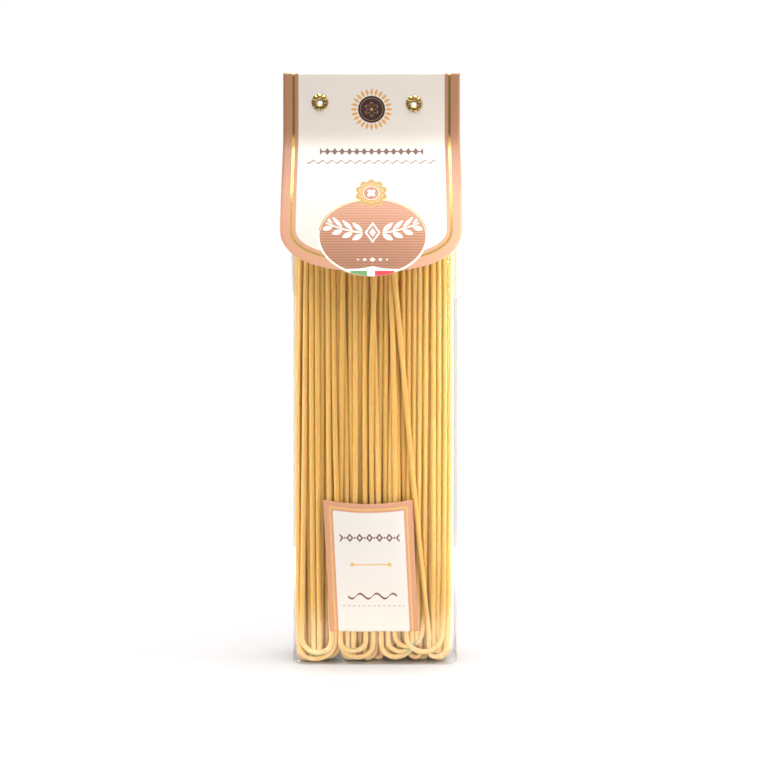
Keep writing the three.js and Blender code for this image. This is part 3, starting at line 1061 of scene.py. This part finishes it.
    def print_plaque(self, fibre):
        """The oval: fine ruled lines, a laurel, a pale rim and three stripes at its foot."""
        tints = self.tints
        across, down = self.across - self.PLAQUE_SHIFT, self.down - self.PLAQUE_MIDDLE
        oval = self.oval(across, down, 28.3, 21.75)
        dusk = tuple(0.82 * c for c in tints.rose)
        field = self.finish.mix(down.over(-14.0, 16.0) * 0.8, tuple(tints.rose_pale_and_lit), dusk)
        self.lay_front(oval.inside(), field)
        ruled = (down * (2 * math.pi / self.RULING_PITCH)).sine().over(0.0, 0.8)
        depth = 0.35 + 0.45 * down.over(-14.0, 12.0) + 0.35 * (fibre - 0.5)
        self.lay_front((ruled * depth).clamped() * (oval + 1.3).inside(), tints.rose_dark)
        self.print_laurel(across, down + 3.2, oval)
        for middle, size in ((0.0, 1.25), (-4.0, 0.85), (4.0, 0.85), (-7.4, 0.5), (7.4, 0.5)):
            mark = self.lozenge(across - middle, down - 12.9, size * 1.3, size)
            self.lay_front(mark.inside(), tints.white)
        brace = down - 18.0 + 1.5 / (1.0 + (across * 0.3) ** 2.0)
        foot = (0 - brace).inside() * oval.inside()
        self.lay_front(foot, tints.white)
        self.lay_front((abs(oval + 0.5) - 0.5).inside(), tints.white)
        glint = (abs(oval + 0.5) - 0.3).inside() * down.over(2.0, -4.0)
        self.lay_front(glint, tints.gold, metal=True)
        stripe = (18.9 - down).inside() * oval.inside()
        for middle, half, tint in ((-7.0, 4.3, tints.leaf_green), (6.2, 5.0, tints.brick_red)):
            self.lay_front(stripe * (abs(across - middle) - half).inside(), tint)

    def print_laurel(self, across, down, oval):
        """Two white sprigs that run out to the sides from a lozenge, with paired leaves."""
        tints = self.tints
        run = abs(across)
        rise = down + (run * 0.1) ** 2.0 - 1.8
        stem = abs(rise) - (0.5 - run * 0.008)
        pitch, lean = 5.2, math.radians(38)
        step = (run - 2.6).wrapped(pitch)
        above = abs(rise) - 2.75
        along = step * math.cos(lean) + above * math.sin(lean)
        beside = above * math.cos(lean) - step * math.sin(lean)
        leaf = abs(beside) - (1.4 - run * 0.016) * (1 - (along / 3.4) ** 2.0)
        within = (oval + 2.4).inside() * (5.2 - run).inside()
        self.lay_front(stem.least(leaf).inside() * within, tints.white)
        heart = self.lozenge(across, down - 1.4, 4.2, 6.0)
        self.lay_front((abs(heart + 0.55) - 0.42).inside(), tints.white)
        self.lay_front(self.lozenge(across, down - 1.4, 1.6, 2.4).inside(), tints.white)

    def print_crown(self):
        """A gold rosette where the oval meets the panel."""
        tints = self.tints
        across, down = self.across, self.down - self.CROWN_MIDDLE
        distance = self.ring_distance(across, down)
        bearing = down.bearing(across)
        scallop = abs((bearing * 5.0).sine())
        self.lay_front((distance - 6.9 - 1.7 * scallop).inside(), tints.straw)
        vein = (abs(distance - 6.2 - 1.2 * scallop) - 0.16).inside()
        self.lay_front(vein * 0.8, tints.brown)
        self.lay_front((distance - 4.7).inside(), tints.rose)
        self.lay_front((abs(distance - 4.1) - 0.16).inside(), tints.white)
        quatrefoil = distance - 0.9 - 1.6 * abs((bearing * 2.0).sine())
        self.lay_front(quatrefoil.inside(), tints.white)


def plain_board_finish(tints):
    finish = Finish(bpy.data.materials.new("plain_board"))
    place = finish.node("ShaderNodeTexCoord", output="Object")
    fibre = finish.speckle(finish.stretch(place, (1400.0, 1400.0, 500.0)), 1.0, 3.0)
    warm = tuple(c * w for c, w in zip(tints.cream, (0.92, 0.84, 0.72)))
    tint = finish.mix(fibre.over(0.3, 0.7), tuple(tints.cream), warm)
    relief = finish.bump(fibre, 0.00003, 0.5)
    return finish.principled(base_color=tint, roughness=0.75 + 0.1 * fibre, normal=relief)


def new_sheet(name, columns, points, flat, printed, tints):
    """A thin sheet from the points of its face and then of its back: printed in front, plain behind.

    Gives the piece and the number of faces on its rim, which come last.
    """
    count = len(points) // 2
    rows = count // columns
    outer = grid_faces(rows, columns)
    inner = [tuple(k + count for k in face[::-1]) for face in outer]
    border = list(range(columns))
    border += [i * columns + columns - 1 for i in range(1, rows)]
    border += [count - columns + j for j in range(columns - 2, -1, -1)]
    border += [i * columns for i in range(rows - 2, 0, -1)]
    rim = [(b, a, a + count, b + count) for a, b in zip(border, border[1:] + border[:1])]
    piece = new_piece(name, points, outer + inner + rim, printed, [name])
    piece.data.materials.append(plain_board_finish(tints))
    piece.data.polygons.foreach_set("material_index", [0] * len(outer) + [1] * (len(inner) + len(rim)))
    store(piece, "flat", "FLOAT_VECTOR", np.concatenate((flat, flat)))
    return piece, len(rim)


class SPAGHETTI_OT_header_card(bpy.types.Operator):
    """Fold the die-cut card over the neck of the bag"""

    bl_idname = "spaghetti.header_card"
    bl_label = "Header Card"

    COLUMNS = 57
    HOLE_PLAY = 0.0002

    def execute(self, context):
        pack = context.scene.spaghetti_pack
        form = CardForm(pack.card)
        points, flat = self.sheet(form)
        printed = CardPrint(pack.finishes).make()
        piece, rim = new_sheet("header_card", self.COLUMNS, points, flat, printed, pack.finishes)
        faces = len(piece.data.polygons)
        piece.data.polygons.foreach_set("use_smooth", [True] * (faces - rim) + [False] * rim)
        for place in (pack.eyelets.left, pack.eyelets.right):
            self.punch(piece, place, pack.eyelets.barrel + self.HOLE_PLAY)
        return {"FINISHED"}

    def sheet(self, form):
        """Points of the outer and then the inner face, and their places on the flat sheet, in mm."""
        s = form.sizes
        outer, inner, flat = [], [], []
        for side in (FRONT, BACK):
            along = form.rows(side)
            along = along[::-1] if side == FRONT else along[1:]
            out, height, lean = form.at(along)
            across = np.linspace(-1, 1, self.COLUMNS)[None] * form.half_width(along, side)[:, None]
            total = form.back_length
            skew = s.back_skew * ease(along / total) if side == BACK else np.zeros_like(along)
            free = ease((along - form.neck_end) / (total - form.neck_end))[:, None]
            lag = s.bow * (across / s.half_width) ** 2 * free
            lag = lag + 0.00035 * np.sin(across / 0.013 + 1.3 * side) * free**2
            x = s.centre + skew[:, None] + across
            y = side * (out[:, None] - lag)
            z = np.broadcast_to(height[:, None], x.shape)
            push_y = side * np.cos(lean)[:, None] * 0.5 * s.thickness
            push_z = np.sin(lean)[:, None] * 0.5 * s.thickness
            outer.append(np.stack((x, y + push_y, z + push_z), axis=2))
            inner.append(np.stack((x, y - push_y, z - push_z), axis=2))
            run = np.broadcast_to(along[:, None], x.shape)
            inset = form.inset(across, run, side)
            flat.append(np.stack((across, -side * run, inset), axis=2) / MM)
        joined = [np.concatenate(part).reshape(-1, 3) for part in (outer, inner, flat)]
        return np.concatenate(joined[:2]), joined[2]

    def punch(self, piece, place, radius):
        """Cuts a round hole through both flaps for an eyelet."""
        work = bmesh.new()
        work.from_mesh(piece.data)
        for low, high in ((-0.01, 0.0), (0.0, 0.01)):
            middles = [(face, face.calc_center_median()) for face in work.faces]
            near = [
                face
                for face, middle in middles
                if low < middle.y < high and math.dist((middle.x, middle.z), place) < radius
            ]
            rim = {v for f in near for v in f.verts}
            bmesh.ops.delete(work, geom=near, context="FACES")
            edges = list({e for v in rim if v.is_valid for e in v.link_edges if e.is_boundary})
            for v in {v for e in edges for v in e.verts}:
                away = Vector((v.co.x - place[0], v.co.z - place[1])).normalized() * radius
                v.co.x, v.co.z = place[0] + away.x, place[1] + away.y
            bmesh.ops.bridge_loops(work, edges=edges)
        work.to_mesh(piece.data)
        work.free()


# Eyelets


def brass_finish(tints):
    finish = Finish(bpy.data.materials.new("aged_brass"))
    place = finish.node("ShaderNodeTexCoord", output="Object")
    hollow = finish.attribute("hollow", "Fac")
    cloud = finish.speckle(place, 900.0, 4.0, 0.6)
    scratch = finish.speckle(finish.stretch(place, (4000.0, 4000.0, 900.0)), 1.0, 2.0)
    aged = (hollow + 0.5 * cloud - 0.25).clamped()
    return finish.principled(
        base_color=finish.mix(aged, tuple(tints.brass), tuple(tints.patina)),
        metallic=1.0,
        roughness=0.24 + 0.3 * aged + 0.1 * scratch,
        normal=finish.bump(cloud * 0.5 + scratch * 0.4, 0.00006, 0.5),
    )


class SPAGHETTI_OT_eyelets(bpy.types.Operator):
    """Rivet the two eyelets through card and neck"""

    bl_idname = "spaghetti.eyelets"
    bl_label = "Eyelets"

    TURNS = 162

    def execute(self, context):
        pack = context.scene.spaghetti_pack
        finish = brass_finish(pack.finishes)
        seat = pack.card.fold_radius + 0.5 * pack.card.thickness + 0.00006
        rivets = {"eyelet_left": (pack.eyelets.left, 0.2), "eyelet_right": (pack.eyelets.right, 0.5)}
        for name, (place, spin) in rivets.items():
            points, hollow = self.rivet(pack.eyelets, seat, spin)
            points = points + (place[0], 0, place[1])
            rows, columns = points.shape[:2]
            faces = grid_faces(rows, columns, wrap=True)
            last = (rows - 1) * columns
            steps = ((j, (j + 1) % columns) for j in range(columns))
            faces += [(last + j, last + k, k, j) for j, k in steps]
            piece = new_piece(name, points.reshape(-1, 3), faces, finish, [name])
            store(piece, "hollow", "FLOAT", hollow)
        return {"FINISHED"}

    def rivet(self, s, seat, spin):
        """A tube that is split into curled petals at the front and rolled over at the back."""
        turn = np.linspace(0, 2 * math.pi, self.TURNS, endpoint=False)
        phase = (turn * s.petals / (2 * math.pi) + spin) % 1
        which = np.floor(turn * s.petals / (2 * math.pi) + spin).astype(int) % s.petals
        uneven = np.random.default_rng(int(100 * spin)).normal(0, 1, (3, s.petals))[:, which]
        edge = np.abs(phase - 0.5) * 2
        slit = ease((edge - 0.66) / 0.34)
        share = np.linspace(0, 1, 15)[:, None]
        radius = s.bore + (s.rim - s.bore) * share
        rise = s.rise * (0.25 + 0.75 * np.sin(math.pi * np.clip(share, 0, 1) ** 0.75) ** 0.8)
        rise = rise * (1 + 0.10 * uneven[0]) - 0.00022 * edge**2 * share
        open_slit = slit * ease((share - 0.30) / 0.25)
        rise = np.maximum(rise * (1 - 0.85 * open_slit), 0.00003)
        reach = 1 + share * (0.02 * uneven[1] - 0.07 * slit)
        front = np.stack(np.broadcast_arrays(radius * reach, -seat - rise, open_slit), axis=2)
        seat_ring = self.lathe(((s.rim * 0.94, -seat + 0.00001, 0.6), (s.barrel, -seat + 0.00001, 1.0)))
        barrel = self.lathe(((s.barrel, seat - 0.00001, 1.0), (s.rim * 0.96, seat - 0.00001, 0.6)))
        roll = np.linspace(0, math.pi, 11)
        middle, half = 0.5 * (s.rim + s.bore), 0.5 * (s.rim - s.bore)
        back = self.lathe([(middle + half * math.cos(t), seat + s.rise * math.sin(t), 0.1) for t in roll])
        bore = self.lathe(((s.bore, 0.5 * seat, 0.7), (s.bore, -0.5 * seat, 0.7)))
        profile = np.concatenate((front, seat_ring, barrel, back, bore))
        x = profile[..., 0] * np.cos(turn)
        z = profile[..., 0] * np.sin(turn)
        return np.stack((x, profile[..., 1], z), axis=2), profile[..., 2]

    def lathe(self, stations):
        return np.repeat(np.array(stations)[:, None], self.TURNS, axis=1)


# Label


class LabelPrint(CardPrint):
    """The label's border and ornaments, drawn on distances from its middle and up from its lower edge."""

    BORDER_WIDTH = 4.6
    LINE_MIDDLE = 3.05
    LINE_HALF_WIDTH = 0.42
    LOZENGES_MIDDLE = 48.2
    LOZENGE_PITCH = 5.1
    RULE_MIDDLE = 34.4
    RULE_DOT = 9.6
    WAVE_MIDDLE = 18.2
    WAVE_LENGTH = 8.5
    THREAD_MIDDLE = 13.2
    DASH_PITCH = 2.6

    def make(self):
        finish, tints = self.finish, self.tints
        paper = finish.speckle(finish.attribute("flat"), 1.8, 4.0, 0.6)
        fibre = finish.speckle(finish.stretch(finish.attribute("flat"), (1.0, 0.1, 1.0)), 3.0, 3.0)
        shade = tuple(0.94 * c for c in tints.paper)
        self.tint = finish.mix(paper.over(0.3, 0.75) * 0.5, tuple(tints.paper), shade)
        rose = finish.mix(0.4 + 0.6 * fibre.over(0.3, 0.7), tuple(tints.rose_pale_and_lit), tuple(tints.rose))
        self.lay((self.inset - self.BORDER_WIDTH).inside(), rose)
        self.lay((abs(self.inset - self.LINE_MIDDLE) - self.LINE_HALF_WIDTH).inside(), tints.straw)
        self.print_marks()
        return finish.principled(
            base_color=self.tint,
            roughness=0.6 + 0.1 * paper,
            normal=finish.bump(paper * 0.3 + fibre * 0.3, 0.00004, 0.6),
        )

    def print_marks(self):
        """A row of lozenges, a gold rule with two end dots, a wave and a dashed thread."""
        tints = self.tints
        across, up = self.across, self.down
        row = up - self.LOZENGES_MIDDLE
        pitch = self.LOZENGE_PITCH
        within = (abs(across) - 15.4).inside()
        frieze = self.lozenge(across.wrapped(pitch), row, 1.9, 2.2).inside()
        hollow = self.lozenge(across.wrapped(pitch), row, 0.8, 1.0).inside()
        dots = (self.ring_distance((across + 0.5 * pitch).wrapped(pitch), row) - 0.5).inside()
        self.lay((frieze * (1 - hollow) + dots) * within, tints.brown)
        rule = up - self.RULE_MIDDLE
        self.lay(self.bar(across, rule, 9.2, 0.32).inside(), tints.straw)
        for middle in (-self.RULE_DOT, self.RULE_DOT):
            self.lay((self.ring_distance(across - middle, rule) - 1.05).inside(), tints.straw)
        low = up - self.WAVE_MIDDLE
        wave = low - (across * (2 * math.pi / self.WAVE_LENGTH)).sine() * 1.3
        swell = 0.25 + 0.35 * abs((across * (math.pi / self.WAVE_LENGTH)).sine())
        self.lay(((abs(wave) - swell).inside()) * (abs(across) - 12.6).inside(), tints.brown)
        thread = (abs(up - self.THREAD_MIDDLE) - 0.18).inside() * (abs(across) - 16.5).inside()
        beads = (across * (2 * math.pi / self.DASH_PITCH)).sine().over(-0.2, 0.2)
        self.lay(thread * beads * 0.8, tints.brown)


class SPAGHETTI_OT_label(bpy.types.Operator):
    """Stick the paper label on the front of the bag"""

    bl_idname = "spaghetti.label"
    bl_label = "Label"

    COLUMNS = 61
    ROWS = 71
    OFF_FILM = 0.00035
    RIDGE_HEIGHT = 0.00002
    RIDGE_PITCH = 0.0029

    def execute(self, context):
        pack = context.scene.spaghetti_pack
        s, form = pack.label, BagForm(pack.bag)
        share = np.linspace(-1, 1, self.COLUMNS)[None]
        rise = np.linspace(0, 1, self.ROWS)[:, None]
        across = np.broadcast_to(s.half_width * share, (self.ROWS, self.COLUMNS))
        x = s.bottom_centre + (s.top_centre - s.bottom_centre) * rise + across
        z = s.bottom + (s.top - s.bottom) * rise - s.hollow * (1 - share**2) * rise**4
        ridges = self.RIDGE_HEIGHT * np.sin(2 * math.pi * x / self.RIDGE_PITCH + 1.5 * np.sin(z / 0.02))
        y = form.face(x, z, FRONT) - self.OFF_FILM + ridges
        front = np.stack((x, y - s.thickness, z), axis=2).reshape(-1, 3)
        behind = np.stack((x, y, z), axis=2).reshape(-1, 3)
        up = z - s.bottom
        edge = s.top - s.bottom - s.hollow * (1 - share**2) - up
        inset = np.minimum(s.half_width - np.abs(across), edge)
        flat = np.stack((across, up, inset), axis=2) / MM
        points = np.concatenate((front, behind))
        printed = LabelPrint(pack.finishes).make()
        new_sheet("label", self.COLUMNS, points, flat, printed, pack.finishes)
        return {"FINISHED"}


# Stage


class SPAGHETTI_OT_stage(bpy.types.Operator):
    """Set the floor, the soft light and the camera"""

    bl_idname = "spaghetti.stage"
    bl_label = "Stage"

    def execute(self, context):
        scene = context.scene
        self.make_floor(scene.spaghetti_pack.finishes)
        self.make_lights()
        scene.world = self.make_room()
        camera = bpy.data.objects.new("camera", bpy.data.cameras.new("camera"))
        camera.data.sensor_width = 36.0
        camera.data.lens = 52.73
        camera.location = (0.0046, -0.600, 0.145)
        camera.rotation_euler = (math.pi / 2, 0.0, 0.0)
        scene.collection.objects.link(camera)
        scene.camera = camera
        scene.view_settings.view_transform = "Standard"
        return {"FINISHED"}

    def make_room(self):
        """A white room, dim at the front, that shows as a white background."""
        room = Finish(bpy.data.worlds.new("white_room"))
        towards = room.split(room.node("ShaderNodeTexCoord", output="Generated"))[1]
        path = room.node("ShaderNodeLightPath", output="Is Camera Ray")
        seen = path.most(towards.over(-0.25, 0.45) * (0.55 + 0.45 * path.other("Is Glossy Ray")))
        white = room.node("ShaderNodeBackground", None, {"Color": (1.0, 1.0, 1.0, 1.0), "Strength": 1.0})
        dim = room.node("ShaderNodeBackground", None, {"Color": (1.0, 1.0, 1.0, 1.0), "Strength": 0.16})
        blend = room.node("ShaderNodeMixShader", None, {0: seen, 1: dim, 2: white})
        return room.show(blend, "ShaderNodeOutputWorld")

    def make_floor(self, tints):
        finish = Finish(bpy.data.materials.new("studio_floor"))
        place = finish.node("ShaderNodeTexCoord", output="Object")
        cloud = finish.speckle(place, 6.0, 3.0)
        shade = tuple(0.985 * c for c in tints.floor)
        across, along, _ = finish.split(place)
        # Painted light: the floor is painted lighter from 0.17 to 0.33 m out, so that its far part, which
        # gets less light, shows as white as the room.
        away = (across**2.0 + along**2.0).root().over(0.17, 0.33)
        tint = finish.mix(away, finish.mix(cloud, tuple(tints.floor), shade), tuple(tints.floor_edge))
        finish.principled(base_color=tint, roughness=0.7)
        half = 0.40
        corners = [(-half, -half, 0), (half, -half, 0), (half, half, 0), (-half, half, 0)]
        mesh = bpy.data.meshes.new("floor")
        mesh.from_pydata(corners, [], [(0, 1, 2, 3)])
        mesh.materials.append(finish.owner)
        floor = bpy.data.objects.new("floor", mesh)
        bpy.context.scene.collection.objects.link(floor)

    def make_lights(self):
        """Wide soft boxes, and strips close to the pack that lift its lower half and its sides."""
        self.make_light("key_softbox", (0.11, -0.53, 1.15), (0, 0, 0.12), (0.45, 0.6), 1.0)
        self.make_light("front_softbox", (0.0, -1.05, 1.00), (0, 0, 0.2), (1.4, 0.5), 1.5)
        fill = self.make_light("fill_softbox", (0.02, -0.52, 0.11), (0.01, 0, 0.13), (0.16, 0.16), 0.027, 50)
        fill.visible_glossy = False
        self.make_light("top_softbox", (0.0, -0.05, 1.45), (0, -0.05, 0), (1.3, 1.3), 42.0)
        self.make_light("side_softbox", (0.80, -0.02, 0.34), (0, 0, 0.16), (0.5, 0.8), 6.0)
        self.make_light("low_strip", (0.02, -0.30, 0.030), (0, 0, 0.05), (0.4, 0.04), 0.05)
        floor = self.make_light(
            "floor_strip", (-0.010, -0.058, 0.003), (-0.010, -0.02, 0.012), (0.10, 0.024), 0.022
        )
        floor.data.color = (1.0, 0.88, 0.70)
        self.make_light("left_strip", (-0.24, -0.08, 0.13), (-0.03, 0, 0.12), (0.06, 0.2), 0.075, 60)
        self.make_light("near_strip", (0.23, -0.13, 0.10), (0.03, 0, 0.10), (0.06, 0.2), 0.12)
        self.make_light("right_strip", (0.20, -0.20, 0.17), (0.070, 0, 0.15), (0.06, 0.2), 0.080, 28)

    def make_light(self, name, place, target, size, power, spread=180):
        """An area light that the camera doesn't see, with its power in watts and its spread in degrees."""
        lamp = bpy.data.lights.new(name, "AREA")
        lamp.shape = "RECTANGLE"
        lamp.size, lamp.size_y = size
        lamp.energy = power
        lamp.spread = math.radians(spread)
        light = bpy.data.objects.new(name, lamp)
        light.location = place
        light.visible_camera = False
        light.rotation_euler = (Vector(target) - Vector(place)).to_track_quat("-Z", "Y").to_euler()
        bpy.context.scene.collection.objects.link(light)
        return light


# Add-on


class SpaghettiPack(bpy.types.PropertyGroup):
    """Everything that can be changed on the pack."""

    bag: PointerProperty(type=BagSizes, name="Bag", description="Sizes of the clear bag")
    strands: PointerProperty(type=StrandSizes, name="Strands", description="Sizes of the strands")
    card: PointerProperty(type=CardSizes, name="Card", description="Sizes of the header card")
    eyelets: PointerProperty(type=EyeletSizes, name="Eyelets", description="Sizes of the eyelets")
    label: PointerProperty(type=LabelSizes, name="Label", description="Sizes of the label")
    finishes: PointerProperty(type=Finishes, name="Finishes", description="Colours of the pieces")


class SPAGHETTI_PT_pack(bpy.types.Panel):
    """The pieces of the pack, in the order in which they are made"""

    bl_idname = "SPAGHETTI_PT_pack"
    bl_label = "Spaghetti Pack"
    bl_space_type = "VIEW_3D"
    bl_region_type = "UI"
    bl_category = "Spaghetti Pack"

    def draw(self, context):
        for operator in OPERATORS:
            self.layout.operator(operator.bl_idname)


OPERATORS = (
    SPAGHETTI_OT_stage,
    SPAGHETTI_OT_strands,
    SPAGHETTI_OT_film,
    SPAGHETTI_OT_header_card,
    SPAGHETTI_OT_eyelets,
    SPAGHETTI_OT_label,
)
SETTINGS = (BagSizes, StrandSizes, CardSizes, EyeletSizes, LabelSizes, Finishes, SpaghettiPack)
CLASSES = (*SETTINGS, *OPERATORS, SPAGHETTI_PT_pack)


def register():
    for cls in CLASSES:
        bpy.utils.register_class(cls)
    bpy.types.Scene.spaghetti_pack = PointerProperty(type=SpaghettiPack)


def unregister():
    del bpy.types.Scene.spaghetti_pack
    for cls in reversed(CLASSES):
        bpy.utils.unregister_class(cls)


def main():
    register()
    bpy.ops.spaghetti.stage()
    bpy.ops.spaghetti.strands()
    bpy.ops.spaghetti.film()
    bpy.ops.spaghetti.header_card()
    bpy.ops.spaghetti.eyelets()
    bpy.ops.spaghetti.label()


if __name__ == "__main__":
    main()
